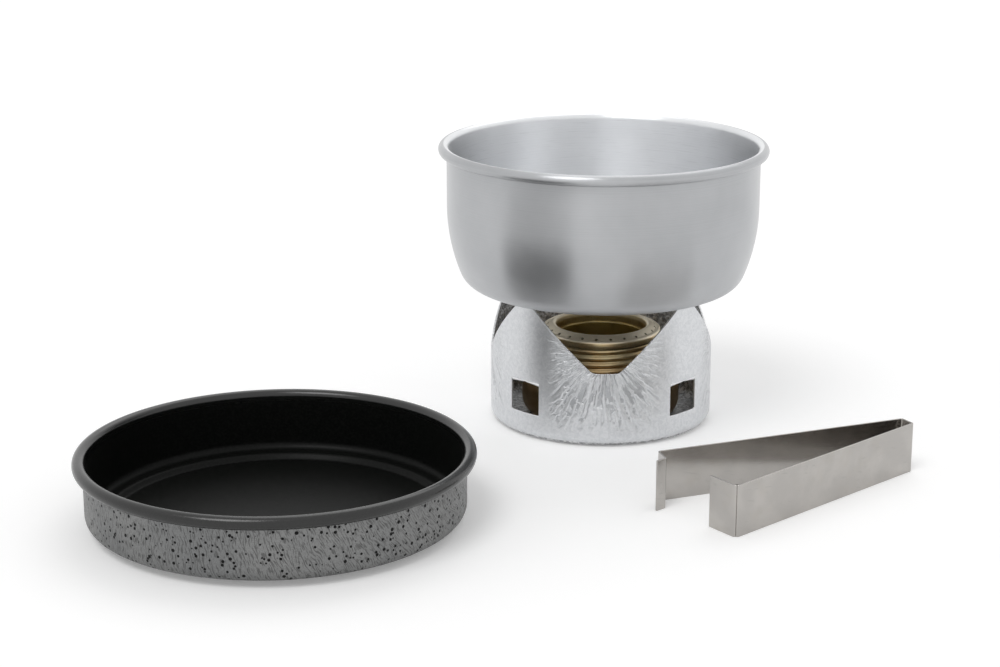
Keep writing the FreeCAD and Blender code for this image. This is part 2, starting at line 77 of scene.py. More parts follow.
class Graph:
    """A node material being built; every call returns an output socket."""

    def __init__(self, name):
        self.material = bpy.data.materials.new(name)
        self.material.use_nodes = True
        self.tree = self.material.node_tree
        self.shader = self.tree.nodes["Principled BSDF"]

    def node(self, kind, inputs, **settings):
        node = self.tree.nodes.new("ShaderNode" + kind)
        for key, value in settings.items():
            setattr(node, key, value)
        for key, value in inputs.items():
            self.put(node.inputs[key], value)
        return node

    def put(self, socket, value):
        if isinstance(value, bpy.types.NodeSocket):
            self.tree.links.new(value, socket)
        else:
            socket.default_value = value

    def math(self, operation, first, second=0.0, third=0.0, clamp=False):
        node = self.node("Math", {0: first, 1: second, 2: third}, operation=operation)
        node.use_clamp = clamp
        return node.outputs[0]

    def vector(self, x, y, z):
        return self.node("CombineXYZ", {"X": x, "Y": y, "Z": z}).outputs[0]

    def hypot(self, first, second):
        squares = [self.math("MULTIPLY", value, value) for value in (first, second)]
        return self.math("SQRT", self.math("ADD", *squares))

    def place(self, centre=(0.0, 0.0)):
        """x, y, z of the surface point in millimetres, from an upright axis."""
        coordinates = self.node("TexCoord", {}).outputs["Object"]
        shifted = self.node("VectorMath", {0: coordinates, 1: (-centre[0] * MM, -centre[1] * MM, 0)},
                            operation="ADD").outputs[0]
        scaled = self.node("VectorMath", {0: shifted, "Scale": 1 / MM}, operation="SCALE").outputs[0]
        parts = self.node("SeparateXYZ", {0: scaled})
        return scaled, parts.outputs[0], parts.outputs[1], parts.outputs[2]

    def noise(self, vector, scale, detail=2.0, rough=0.5, distortion=0.0, w=None):
        """Noise at a point, or along one measure w when there is no vector."""
        inputs = {"Scale": scale, "Detail": detail, "Roughness": rough, "Distortion": distortion}
        inputs["Vector" if w is None else "W"] = vector if w is None else w
        return self.node("TexNoise", inputs, noise_dimensions="3D" if w is None else "1D").outputs[0]

    def cells(self, vector, scale):
        return self.node("TexVoronoi", {"Vector": vector, "Scale": scale})

    def ramp(self, value, low, high, out_low=0.0, out_high=1.0, smooth=True):
        """value between low and high, mapped to out_low..out_high and held outside."""
        node = self.node("MapRange", {"Value": value, "From Min": low, "From Max": high,
                                      "To Min": out_low, "To Max": out_high})
        node.interpolation_type = "SMOOTHSTEP" if smooth else "LINEAR"
        return node.outputs[0]

    def blend(self, factor, first, second):
        """Mix of two colours."""
        node = self.node("Mix", {}, data_type="RGBA")
        self.put(node.inputs[0], factor)
        for socket, value in ((node.inputs[6], first), (node.inputs[7], second)):
            self.put(socket, (*value, 1.0) if isinstance(value, tuple) else value)
        return node.outputs[2]

    def bump(self, height, strength, distance, normal=None):
        inputs = {"Height": height, "Strength": strength, "Distance": distance * MM}
        if normal is not None:
            inputs["Normal"] = normal
        return self.node("Bump", inputs).outputs[0]

    def finish(self, colour, rough, normal=None, metallic=1.0, **fixed):
        self.put(self.shader.inputs["Base Color"],
                 (*colour, 1.0) if isinstance(colour, tuple) else colour)
        self.put(self.shader.inputs["Roughness"], rough)
        self.put(self.shader.inputs["Metallic"], metallic)
        if normal is not None:
            self.put(self.shader.inputs["Normal"], normal)
        for name, value in fixed.items():
            self.shader.inputs[name.replace("_", " ")].default_value = value
        return self.material


pan_low, pan_high = box_mm("frying_pan")
PAN_CENTRE = tuple((low + high) / 2 for low, high in zip(pan_low[:2], pan_high[:2]))
PAN_RADIUS = 77.8


def spun_aluminium():
    """Satin spun metal: fine turning lines round the axis and faint cloudy wear."""
    g = Graph("spun_aluminium")
    place, x, y, z = g.place()
    across = g.hypot(x, y)
    along = g.math("ADD", z, across)
    wander = g.noise(place, 0.02, 1.0)
    lines = g.noise(None, 3.2, 3.0, 0.65, w=g.math("ADD", along, g.math("MULTIPLY", wander, 1.5)))
    coarse = g.noise(None, 0.55, 2.0, 0.5, w=along)
    clouds = g.noise(place, 0.035, 3.0, 0.55)
    # short scratches that follow the turning lines
    flat = g.vector(g.math("MULTIPLY", x, 0.06), g.math("MULTIPLY", y, 0.06),
                    g.math("MULTIPLY", along, 2.4))
    scratch = g.ramp(g.noise(flat, 1.0, 2.0, 0.7), 0.60, 0.74)
    shade = g.math("ADD", g.math("MULTIPLY", lines, 0.10), g.math("MULTIPLY", clouds, 0.10))
    # the outside is painted a step darker than the inside, a painted shade for the dim room that the outer
    # wall mirrors
    normal_out = g.node("SeparateXYZ", {0: g.node("NewGeometry", {}).outputs["Normal"]})
    facing = g.math("ADD", g.math("MULTIPLY", x, normal_out.outputs[0]),
                    g.math("MULTIPLY", y, normal_out.outputs[1]))
    outside = g.ramp(facing, -10.0, 10.0)
    inside_tone = g.blend(g.ramp(shade, 0.05, 0.15), (0.74, 0.75, 0.765), (0.85, 0.86, 0.875))
    # painted shade: darker copy of the metal's colour for the outer wall
    painted_shade_outside_tone = g.blend(g.ramp(shade, 0.05, 0.15), (0.40, 0.408, 0.42), (0.49, 0.498, 0.51))
    colour = g.blend(outside, inside_tone, painted_shade_outside_tone)
    colour = g.blend(g.math("MULTIPLY", scratch, 0.25), colour, (0.38, 0.385, 0.39))
    rough = g.math("ADD", 0.25, g.math("ADD", g.math("MULTIPLY", lines, 0.10),
                                       g.math("MULTIPLY", clouds, 0.08)))
    height = g.math("ADD", g.math("ADD", lines, g.math("MULTIPLY", coarse, 0.8)),
                    g.math("MULTIPLY", scratch, -0.4))
    normal = g.bump(height, 0.35, 0.02)
    return g.finish(colour, rough, normal, Anisotropic=0.85, Anisotropic_Rotation=0.25)


def wrinkled_aluminium():
    """Pressed sheet: streaks fan out below each V, crumpled beside it, pitted lower down; their creases and
    pits carry painted shade and the cut edges a painted highlight.
    """
    g = Graph("wrinkled_aluminium")
    place, x, y, z = g.place()
    quarter = g.math("DIVIDE", g.math("ARCTAN2", y, x), math.pi / 2)
    nearest = g.math("ROUND", quarter)
    aside = g.math("MULTIPLY", g.math("SUBTRACT", quarter, nearest), 50.6 * math.pi / 2)
    away = g.math("ABSOLUTE", aside)
    drop = g.math("SUBTRACT", 46.0, z)
    fan = g.math("ARCTAN2", aside, drop)
    reach = g.hypot(aside, drop)
    # drawn metal: a lobe around and below the V, fading to smooth sheet
    worked = g.math("MULTIPLY", g.ramp(away, 15.0, 30.0, 1.0, 0.0), g.ramp(z, 5.0, 14.0))
    bend = g.noise(place, 0.20, 2.0)
    warp = g.vector(g.math("MULTIPLY", bend, 0.9), bend, g.math("MULTIPLY", nearest, 7.3))
    polar = g.vector(g.math("MULTIPLY", fan, 12.0), g.math("MULTIPLY", reach, 0.06), 0.0)
    polar = g.node("VectorMath", {0: polar, 1: warp}, operation="ADD").outputs[0]
    streaks = g.noise(polar, 1.35, 1.0, 0.45)
    creases = g.ramp(streaks, 0.40, 0.47, 1.0, 0.0)
    dash_grid = g.vector(g.math("MULTIPLY", fan, 9.5), g.math("MULTIPLY", reach, 0.42), nearest)
    dashes = g.noise(dash_grid, 1.0, 2.0)
    whole_above = g.ramp(z, 14.0, 30.0, 0.0, 0.22)
    broken = g.ramp(g.math("SUBTRACT", dashes, whole_above), 0.44, 0.53, 1.0, 0.0)
    crackle = g.noise(place, 0.62, 4.0, 0.62, 0.8)
    fine = g.noise(place, 2.6, 3.0, 0.6)
    # crumpled patch beside the V, streaks below it
    beside = g.math("MULTIPLY", g.ramp(away, 7.0, 13.0), g.ramp(z, 22.0, 36.0))
    below = g.math("SUBTRACT", 1.0, beside)
    beside = g.math("MULTIPLY", beside, g.ramp(aside, -3.0, 8.0, 1.0, 0.45))
    shorter = g.vector(0.0, g.math("MULTIPLY", reach, 0.17), 0.0)
    strokes = g.node("VectorMath", {0: polar, 1: shorter}, operation="ADD").outputs[0]
    shred = g.noise(strokes, 1.9, 3.0, 0.6, 0.35)
    pits = g.cells(g.vector(x, y, g.math("MULTIPLY", z, 0.6)), 0.50)
    low = g.ramp(z, 12.0, 26.0, 1.0, 0.0)
    pit = g.math("MULTIPLY", g.ramp(pits.outputs["Distance"], 0.13, 0.25, 1.0, 0.0), low)
    pit = g.math("MULTIPLY", pit, g.ramp(crackle, 0.46, 0.54))
    cut = g.math("MULTIPLY", g.math("MULTIPLY", creases, below), broken)
    rumple = g.math("MULTIPLY", g.ramp(shred, 0.48, 0.60), beside)
    painted_shade_creases = g.math("MULTIPLY", g.math("MAXIMUM", g.math("MAXIMUM", cut, rumple), pit), worked)
    across = g.hypot(x, y)
    inner = g.ramp(across, 50.12, 50.2, 1.0, 0.0)
    # painted highlight: the sheet's cut edges, above 8 to 10 mm, are painted near white as a bright line
    edge_painted_highlight = g.math("MULTIPLY", g.ramp(across, 50.15, 50.25),
                      g.ramp(across, 50.95, 51.05, 1.0, 0.0))
    edge_painted_highlight = g.math("MULTIPLY", edge_painted_highlight, g.ramp(z, 8.0, 10.0))
    colour = g.blend(g.ramp(crackle, 0.35, 0.65), (0.60, 0.613, 0.63), (0.69, 0.70, 0.715))
    # painted shade: creases, crumples and pits are painted dark grey where their relief would be shaded
    colour = g.blend(g.math("MULTIPLY", painted_shade_creases, 0.50), colour, (0.26, 0.27, 0.285))
    mottled = g.blend(g.ramp(crackle, 0.42, 0.60), (0.24, 0.245, 0.25), (0.74, 0.745, 0.75))
    colour = g.blend(g.math("MULTIPLY", inner, 0.8), colour, mottled)
    colour = g.blend(edge_painted_highlight, colour, (0.93, 0.935, 0.94))
    rough = g.math("ADD", 0.27, g.math("MULTIPLY", crackle, 0.14))
    folds = g.math("ADD", g.ramp(streaks, 0.36, 0.66), g.math("MULTIPLY", beside, shred))
    relief = g.math("MULTIPLY", folds, worked)
    relief = g.math("SUBTRACT", relief, g.math("MULTIPLY", painted_shade_creases, 0.45))
    normal = g.bump(relief, 1.0, 0.34)
    dents = g.math("ADD", g.math("MULTIPLY", inner, 2.2), g.math("MULTIPLY", worked, 0.25))
    dents = g.math("ADD", 0.22, dents)
    hammered = g.math("ADD", g.math("MULTIPLY", crackle, dents), g.math("MULTIPLY", fine, 0.10))
    normal = g.bump(hammered, 0.8, 0.48, normal)
    return g.finish(colour, rough, normal)


def aged_brass():
    """Brass darkened in its hollows by ambient occlusion, painted shade together with a brown tarnish, and
    brighter high spots.
    """
    g = Graph("aged_brass")
    place, x, y, z = g.place()
    across = g.hypot(x, y)
    clouds = g.noise(place, 0.13, 4.0, 0.6)
    specks = g.noise(place, 1.9, 3.0, 0.6)
    turned = g.noise(None, 2.8, 2.0, 0.6, w=g.math("ADD", z, across))
    # ambient occlusion darkens the hollows: painted shade, laid on together with the brown tarnish there
    cavity = g.node("AmbientOcclusion", {"Distance": 2.5 * MM}, samples=8).outputs["AO"]
    hollow_shade_and_tarnish = g.ramp(cavity, 0.35, 0.95, 1.0, 0.0)
    colour = g.blend(g.ramp(clouds, 0.34, 0.68), (0.70, 0.585, 0.35), (0.62, 0.45, 0.24))
    colour = g.blend(g.math("MULTIPLY", g.ramp(specks, 0.48, 0.66), 0.30), colour, (0.36, 0.30, 0.17))
    low = g.ramp(z, 29.0, 35.0, 1.0, 0.0)
    colour = g.blend(g.math("MULTIPLY", low, 0.35), colour, (0.62, 0.36, 0.15))
    pale = g.ramp(z, 41.2, 42.2)
    colour = g.blend(g.math("MULTIPLY", pale, 0.85), colour, (0.95, 0.88, 0.73))
    within = g.ramp(across, 20.6, 21.4, 1.0, 0.0)
    colour = g.blend(g.math("MULTIPLY", within, 0.8), colour, (0.62, 0.48, 0.15))
    kept = g.math("SUBTRACT", 1.0, g.math("MULTIPLY", g.math("MAXIMUM", pale, within), 0.6))
    painted_shade_and_tarnish = g.math("MULTIPLY", g.math("MULTIPLY", hollow_shade_and_tarnish, kept), 0.75)
    colour = g.blend(painted_shade_and_tarnish, colour, (0.085, 0.07, 0.03))
    rough = g.math("ADD", 0.27, g.math("MULTIPLY", pale, 0.16))
    rough = g.math("ADD", rough, g.math("MULTIPLY", specks, 0.18))
    normal = g.bump(g.math("ADD", turned, g.math("MULTIPLY", specks, 0.8)), 0.3, 0.03)
    return g.finish(colour, rough, normal)


def wick_felt():
    g = Graph("wick_felt")
    place, x, y, z = g.place()
    fibres = g.noise(g.vector(x, y, g.math("MULTIPLY", z, 0.35)), 1.6, 5.0, 0.7, 1.2)
    stain = g.noise(place, 0.12, 3.0)
    colour = g.blend(g.ramp(fibres, 0.3, 0.7), (0.42, 0.36, 0.25), (0.66, 0.60, 0.47))
    colour = g.blend(g.math("MULTIPLY", g.ramp(stain, 0.5, 0.7), 0.5), colour, (0.30, 0.23, 0.13))
    return g.finish(colour, g.math("ADD", 0.85, g.math("MULTIPLY", stain, 0.1)),
                    g.bump(fibres, 0.8, 0.4), metallic=0.0)


def pan_finish(name, specular, smooth):
    """Speckled grey metal outside; satin black coating inside and over the rim."""
    g = Graph(name)
    place, x, y, z = g.place(PAN_CENTRE)
    across = g.hypot(x, y)
    coat = g.node("Attribute", {}, attribute_name="coat").outputs["Fac"]
    # short drawn wrinkles, upright on the left of the front and leaning further right
    around = g.math("ARCTAN2", y, x)
    lean = g.math("MULTIPLY", g.math("ADD", g.math("SINE", g.math("ADD", around, 1.05)), 1.0), 0.62)
    slant = g.math("ADD", g.math("MULTIPLY", around, PAN_RADIUS), g.math("MULTIPLY", z, lean))
    ripple = g.math("MULTIPLY", g.noise(place, 0.12, 1.0), 4.0)
    grid = g.vector(g.math("ADD", slant, ripple), g.math("MULTIPLY", z, 0.17), 0.0)
    drawn = g.noise(grid, 1.9, 1.0, 0.4, 0.12)
    shaded_groove_mask = g.ramp(drawn, 0.53, 0.62)
    grain = g.noise(place, 2.2, 4.0, 0.65)
    clouds = g.noise(place, 0.03, 3.0)
    dots = g.cells(place, 0.40)
    size = g.node("SeparateColor", {0: dots.outputs["Color"]}).outputs[0]
    dot = g.ramp(g.math("SUBTRACT", dots.outputs["Distance"], g.math("MULTIPLY", size, 0.12)),
                 0.150, 0.200, 1.0, 0.0)
    bare = g.blend(g.ramp(clouds, 0.35, 0.65), (0.215, 0.219, 0.22), (0.255, 0.257, 0.255))
    bare = g.blend(g.math("MULTIPLY", g.ramp(grain, 0.4, 0.62), 0.40), bare, (0.14, 0.14, 0.138))
    # painted shade: the drawn grooves are painted near black where their relief would be shaded
    bare = g.blend(g.math("MULTIPLY", shaded_groove_mask, 0.62), bare, (0.075, 0.075, 0.073))
    bare = g.blend(dot, bare, (0.012, 0.012, 0.012))
    pebble = g.noise(place, 1.1, 3.0, 0.55)
    black = g.blend(g.ramp(pebble, 0.4, 0.66), (0.0022, 0.0026, 0.0022), (0.0060, 0.0064, 0.0058))
    colour = g.blend(coat, bare, black)
    rough_bare = g.math("ADD", 0.42, g.math("MULTIPLY", grain, 0.15))
    rough_coat = g.math("ADD", smooth, g.math("MULTIPLY", pebble, 0.10))
    rough = g.node("Mix", {0: coat, 2: rough_bare, 3: rough_coat}).outputs[0]
    metallic = g.math("SUBTRACT", 1.0, g.math("MAXIMUM", coat, g.math("MULTIPLY", dot, 0.8)), clamp=True)
    relief = g.math("ADD", g.math("MULTIPLY", shaded_groove_mask, -1.3), g.math("MULTIPLY", dot, -1.0))
    relief = g.math("ADD", relief, g.math("MULTIPLY", grain, 0.5))
    relief = g.math("MULTIPLY", relief, g.math("SUBTRACT", 1.0, coat))
    relief = g.math("ADD", relief, g.math("MULTIPLY", g.math("MULTIPLY", pebble, coat), 0.45))
    return g.finish(colour, rough, g.bump(relief, 0.7, 0.12), metallic, Specular_IOR_Level=specular)


def brushed_steel():
    """Folded spring strip: fine lines along it, light scratches and a warm tint."""
    g = Graph("brushed_steel")
    place, x, y, z = g.place()
    flat = g.vector(g.math("MULTIPLY", x, 0.03), g.math("MULTIPLY", y, 0.03), z)
    lines = g.noise(flat, 2.6, 4.0, 0.7)
    slope = g.vector(g.math("MULTIPLY", x, 0.25), g.math("MULTIPLY", y, 0.25),
                     g.math("ADD", g.math("MULTIPLY", z, 1.9), g.math("MULTIPLY", x, 0.5)))
    scratch = g.ramp(g.noise(slope, 0.55, 2.0, 0.6), 0.64, 0.72)
    clouds = g.noise(place, 0.07, 3.0)
    warm = g.ramp(g.noise(place, 0.11, 2.0), 0.5, 0.72)
    colour = g.blend(g.ramp(clouds, 0.35, 0.65), (0.415, 0.398, 0.38), (0.46, 0.442, 0.42))
    colour = g.blend(g.math("MULTIPLY", warm, 0.25), colour, (0.40, 0.37, 0.33))
    colour = g.blend(g.math("MULTIPLY", scratch, 0.35), colour, (0.31, 0.30, 0.285))
    rough = g.math("ADD", 0.10, g.math("ADD", g.math("MULTIPLY", lines, 0.07),
                                       g.math("MULTIPLY", clouds, 0.05)))
    height = g.math("ADD", lines, g.math("MULTIPLY", scratch, -0.6))
    return g.finish(colour, rough, g.bump(height, 0.2, 0.015))


# ---- mesh helpers ----


def arc(across, up, radius, first, last, step=8.0):
    """Points of an arc from angle first to last, in degrees."""
    count = max(2, int(math.ceil(abs(last - first) / step)) + 1)
    angles = np.radians(np.linspace(first, last, count))
    return [(across + radius * math.cos(a), up + radius * math.sin(a)) for a in angles]


def spread(start, end, count):
    """Points after start, up to end, on a straight run."""
    return [(start[0] + (end[0] - start[0]) * k / count, start[1] + (end[1] - start[1]) * k / count)
            for k in range(1, count + 1)]


class Shell:
    """Vertices and faces of one piece, with named values at the vertices."""

    def __init__(self):
        self.points = []
        self.faces = []
        self.values = {}

    def ring(self, radius, height, angles, centre=(0.0, 0.0)):
        start = len(self.points)
        for a in angles:
            self.points.append((centre[0] + radius * math.cos(a), centre[1] + radius * math.sin(a), height))
        return list(range(start, start + len(angles)))

    def point(self, x, y, z):
        self.points.append((x, y, z))
        return len(self.points) - 1

    def band(self, lower, upper, skip=()):
        """Quads between two rings of the same length, facing outwards."""
        count = len(lower)
        for k in range(count):
            if k not in skip:
                n = (k + 1) % count
                self.faces.append((lower[k], lower[n], upper[n], upper[k]))

    def fan(self, tip, ring, flip=False):
        for k in range(len(ring)):
            n = (k + 1) % len(ring)
            self.faces.append((tip, ring[k], ring[n]) if flip else (tip, ring[n], ring[k]))

    def build(self, name, material, body, slot, nodes, round_edges=0.0):
        mesh = bpy.data.meshes.new(name)
        mesh.from_pydata([(x * MM, y * MM, z * MM) for x, y, z in self.points], [], self.faces)
        for key, numbers in self.values.items():
            mesh.attributes.new(key, "FLOAT", "POINT").data.foreach_set("value", numbers)
        mesh.polygons.foreach_set("use_smooth", [True] * len(mesh.polygons))
        mesh.set_sharp_from_angle(angle=SHARP)
        mesh.materials.append(material)
        piece = bpy.data.objects.new(name, mesh)
        bpy.context.scene.collection.objects.link(piece)
        if round_edges:
            bevel = piece.modifiers.new("edges", "BEVEL")
            bevel.width = round_edges * MM
            bevel.segments = 2
            bevel.limit_method = "ANGLE"
            bevel.angle_limit = math.radians(50)
            bevel.use_clamp_overlap = False
        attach(piece, body)
        if nodes:
            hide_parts(*nodes)
        return piece


def lathe(outline, turns=240, closed=False, centre=(0.0, 0.0), swell=None):
    """Shell of an outline turned about an upright axis. Open ends lie on the axis."""
    shell = Shell()
    angles = np.linspace(0.0, 2 * math.pi, turns, endpoint=False)
    rings = []
    for radius, height in outline:
        if radius < 1e-6:
            rings.append(shell.point(centre[0], centre[1], height))
        elif swell:
            start = len(shell.points)
            for a in angles:
                r = radius + swell(radius, height, a)
                shell.points.append((centre[0] + r * math.cos(a), centre[1] + r * math.sin(a), height))
            rings.append(list(range(start, start + turns)))
        else:
            rings.append(shell.ring(radius, height, angles, centre))
    pairs = list(zip(rings, rings[1:]))
    if closed:
        pairs.append((rings[-1], rings[0]))
    for lower, upper in pairs:
        if isinstance(lower, int):
            shell.fan(lower, upper)
        elif isinstance(upper, int):
            shell.fan(upper, lower, flip=True)
        else:
            shell.band(lower, upper)
    return shell


DRILL_SIDES = 12


def drill(piece, cutters):
    """Cuts upright or tilted round holes: (centre, direction, radius, length) in mm."""
    points = []
    faces = []
    for centre, direction, radius, length in cutters:
        axis = np.array(direction, float) / np.linalg.norm(direction)
        side = np.cross(axis, (0.3, 0.5, 0.8))
        side /= np.linalg.norm(side)
        other = np.cross(axis, side)
        base = len(points)
        for end in (-0.5, 0.5):
            for k in range(DRILL_SIDES):
                a = 2 * math.pi * k / DRILL_SIDES
                spoke = radius * (side * math.cos(a) + other * math.sin(a))
                p = np.array(centre) + axis * end * length + spoke
                points.append(tuple(p * MM))
        faces.append(tuple(base + k for k in reversed(range(DRILL_SIDES))))
        faces.append(tuple(base + DRILL_SIDES + k for k in range(DRILL_SIDES)))
        for k in range(DRILL_SIDES):
            n = (k + 1) % DRILL_SIDES
            faces.append((base + k, base + n, base + DRILL_SIDES + n, base + DRILL_SIDES + k))
    mesh = bpy.data.meshes.new("cutter")
    mesh.from_pydata(points, [], faces)
    cutter = bpy.data.objects.new("cutter", mesh)
    bpy.context.scene.collection.objects.link(cutter)
    modifier = piece.modifiers.new("holes", "BOOLEAN")
    modifier.operation = "DIFFERENCE"
    modifier.solver = "EXACT"
    modifier.object = cutter
    bpy.context.view_layer.update()
    drilled = bpy.data.meshes.new_from_object(piece.evaluated_get(bpy.context.evaluated_depsgraph_get()))
    drilled.name = piece.name
    piece.modifiers.remove(modifier)
    piece.data = drilled
    bpy.data.objects.remove(cutter)
    piece.data.polygons.foreach_set("use_smooth", [True] * len(piece.data.polygons))
    piece.data.set_sharp_from_angle(angle=SHARP)


SPUN = spun_aluminium()
WRINKLED = wrinkled_aluminium()
BRASS = aged_brass()
PAN = pan_finish("pan_finish", 0.10, 0.33)
PAN_RIM = pan_finish("pan_rim_finish", 0.60, 0.17)
STEEL = brushed_steel()

# ---- saucepan ----

POT_BASE = box_mm("saucepan")[0][2]
POT_RADIUS = 71.2
POT_SHEET = 1.0
POT_CURVE = 83.1
POT_SWEEP = 21.85
POT_CORNER = 10.2
POT_RIM_Z = 126.4
POT_ROLL = 2.38


def rolled_edge(wall, sheet, rim_z, roll):
    """From the outside of the wall, through the roll, to the inside of the wall."""
    centre = wall - sheet + roll
    return (arc(centre, rim_z, roll - sheet, 180, -90, 15) + arc(centre, rim_z, roll, -90, 180, 9))


def saucepan_outline():
    sine = math.sin(math.radians(POT_SWEEP))
    cosine = math.cos(math.radians(POT_SWEEP))
    flat = POT_RADIUS - POT_CURVE + (POT_CURVE - POT_CORNER) * cosine
    foot = POT_BASE + (POT_CURVE - POT_CORNER) * sine + POT_CORNER
    middle = POT_RADIUS - POT_CURVE
    low = POT_BASE + POT_CORNER
    points = [(0.0, POT_BASE)] + spread((0.0, POT_BASE), (flat, POT_BASE), 8)[:-1]
    points += arc(flat, low, POT_CORNER, -90, -POT_SWEEP, 4)
    points += arc(middle, foot, POT_CURVE, -POT_SWEEP, 0, 1.0)[1:]
    points += spread((POT_RADIUS, foot), (POT_RADIUS, POT_RIM_Z), 10)[:-1]
    points += rolled_edge(POT_RADIUS, POT_SHEET, POT_RIM_Z, POT_ROLL)
    inner = POT_RADIUS - POT_SHEET
    points += spread((inner, POT_RIM_Z), (inner, foot), 10)[:-1]
    points += arc(middle, foot, POT_CURVE - POT_SHEET, 0, -POT_SWEEP, 1.0)
    points += arc(flat, low, POT_CORNER - POT_SHEET, -POT_SWEEP, -90, 4)[1:]
    points += spread((flat, POT_BASE + POT_SHEET), (0.0, POT_BASE + POT_SHEET), 8)
    return points


lathe(saucepan_outline(), 288).build(
    "saucepan_spun", SPUN, "saucepan", "pot_aluminium", ["saucepan"])

# ---- frying pan ----

PAN_SHEET = 1.2
PAN_FLAT = 68.7
PAN_STEP = 2.5
PAN_CORNER = 4.5
PAN_RIM_Z = 27.5
PAN_ROLL = 2.65


def frying_pan_outline():
    """The pan's outline, and how many of its points are bare metal outside."""
    ledge = PAN_RADIUS - PAN_CORNER
    inner = PAN_RADIUS - PAN_SHEET
    low = PAN_STEP + PAN_CORNER
    points = [(0.0, 0.0)] + spread((0.0, 0.0), (PAN_FLAT - 0.8, 0.0), 8)
    points += [(PAN_FLAT - 0.2, 0.15), (PAN_FLAT + 0.4, 0.7), (PAN_FLAT + 1.4, 1.9),
               (PAN_FLAT + 2.0, 2.4), (PAN_FLAT + 2.7, PAN_STEP)]
    points += arc(ledge, low, PAN_CORNER, -90, 0, 9)
    points += spread((PAN_RADIUS, low), (PAN_RADIUS, PAN_RIM_Z - 2.0), 10)
    bare = len(points)
    rim = [(PAN_RADIUS, PAN_RIM_Z - 2.0)] + rolled_edge(PAN_RADIUS, PAN_SHEET, PAN_RIM_Z, PAN_ROLL)
    rim += [(inner, PAN_RIM_Z - 1.5)]
    points += [(PAN_RADIUS - 0.05, PAN_RIM_Z - 2.0), (inner + 0.05, PAN_RIM_Z - 1.6)]
    points += spread((inner, PAN_RIM_Z - 1.5), (inner, low), 10)
    points += arc(ledge, low, PAN_CORNER - PAN_SHEET, 0, -90, 9)[1:]
    top = PAN_STEP + PAN_SHEET
    points += [(PAN_FLAT + 2.3, top), (PAN_FLAT + 1.5, top - 0.12), (PAN_FLAT + 0.8, top - 0.75),
               (PAN_FLAT - 0.1, PAN_SHEET + 0.55), (PAN_FLAT - 0.8, PAN_SHEET + 0.08),
               (PAN_FLAT - 1.5, PAN_SHEET)]
    points += spread((PAN_FLAT - 1.5, PAN_SHEET), (0.0, PAN_SHEET), 8)
    return points, bare, rim


def coat_values(shell, bare_points):
    """Zero on bare metal and one on the coating, vertex by vertex."""
    count = len(shell.points)
    shell.values["coat"] = [0.0] * bare_points + [1.0] * (count - bare_points)


PAN_TURNS = 320
pan_points, pan_bare, pan_rim = frying_pan_outline()
pan_shell = lathe(pan_points, PAN_TURNS, centre=PAN_CENTRE)
coat_values(pan_shell, 1 + PAN_TURNS * (pan_bare - 1))
pan_shell.build("frying_pan_drawn", PAN, "frying_pan", "pan_aluminium", ["frying_pan"])
rim_shell = lathe(pan_rim, PAN_TURNS, centre=PAN_CENTRE)
coat_values(rim_shell, PAN_TURNS)
rim_shell.build("frying_pan_rim", PAN_RIM, "frying_pan", "pan_aluminium", [])

# ---- burner ----

BOWL_BASE = box_mm("burner_bowl")[0][2]
BRASS_SHEET = 0.8
NECK = 25.9
NECK_TOP = 41.0
BOWL_FLAT = 28.5
BOWL_CORNER = 8.0
SHOULDER = (27.0, 15.0, 9.5)
THREAD_LOW = 26.2
THREAD_HIGH = 39.4
THREAD_PITCH = 3.2


def thread(radius, height, angle):
    """Height of the rolled screw thread on the neck, zero elsewhere."""
    if abs(radius - NECK) > 0.01 or not THREAD_LOW < height < THREAD_HIGH:
        return 0.0
    fade = min(1.0, (height - THREAD_LOW) / 1.2, (THREAD_HIGH - height) / 1.0)
    phase = (height - 27.7) / THREAD_PITCH - (angle + math.pi / 2) / (2 * math.pi)
    return 0.9 * fade * (0.5 + 0.5 * math.cos(2 * math.pi * phase)) ** 0.75


def bowl_outline():
    """Up the outside and over the neck, then down the inside."""
    side, level, curve = SHOULDER
    points = [(0.0, BOWL_BASE)] + spread((0.0, BOWL_BASE), (BOWL_FLAT, BOWL_BASE), 4)[:-1]
    points += arc(BOWL_FLAT, BOWL_BASE + BOWL_CORNER, BOWL_CORNER, -90, 0, 9)
    points += arc(side, level, curve, 0, 80, 9)
    points += [(27.6, 24.75), (26.6, 25.1), (26.1, 25.6)]
    points += [(NECK, z) for z in np.arange(26.0, 41.01, 0.22)]
    points += [(NECK - BRASS_SHEET, NECK_TOP), (NECK - BRASS_SHEET, 24.0), (27.0, 23.7)]
    points += arc(side, level, curve - BRASS_SHEET, 80, 0, 9)
    points += arc(BOWL_FLAT, BOWL_BASE + BOWL_CORNER, BOWL_CORNER - BRASS_SHEET, 0, -90, 9)
    points += [(14.0, BOWL_BASE + BRASS_SHEET), (0.0, BOWL_BASE + BRASS_SHEET)]
    return points


lathe(bowl_outline(), 240, swell=thread).build(
    "burner_bowl_drawn", BRASS, "burner", "burner_brass", ["burner_bowl"])


def jet_ring_outline():
    """Lip, sloping band with the jets, groove, rolled outer edge and skirt."""
    points = [(20.2, 38.2), (20.9, 38.2), (21.0, 38.4)]
    points += spread((21.0, 38.4), (21.0, 43.1), 5)
    points += arc(22.2, 43.1, 1.2, 180, 59, 9)[1:]
    points += spread((22.82, 44.13), (25.05, 42.72), 5)
    points += [(25.3, 42.48), (25.5, 42.42), (25.72, 42.48)]
    points += arc(26.22, 41.3, 1.27, 105, 0, 9)
    points += [(27.5, 40.6), (27.5, 39.5), (27.4, 39.25), (27.1, 39.2), (26.7, 39.3), (26.7, 40.6)]
    points += arc(26.3, 40.6, 0.4, 0, 59, 15)[1:]
    points += [(22.41, 43.44)] + arc(22.2, 43.1, 0.4, 59, 180, 20)[1:]
    points += [(21.8, 37.4), (20.2, 37.4)]
    return points


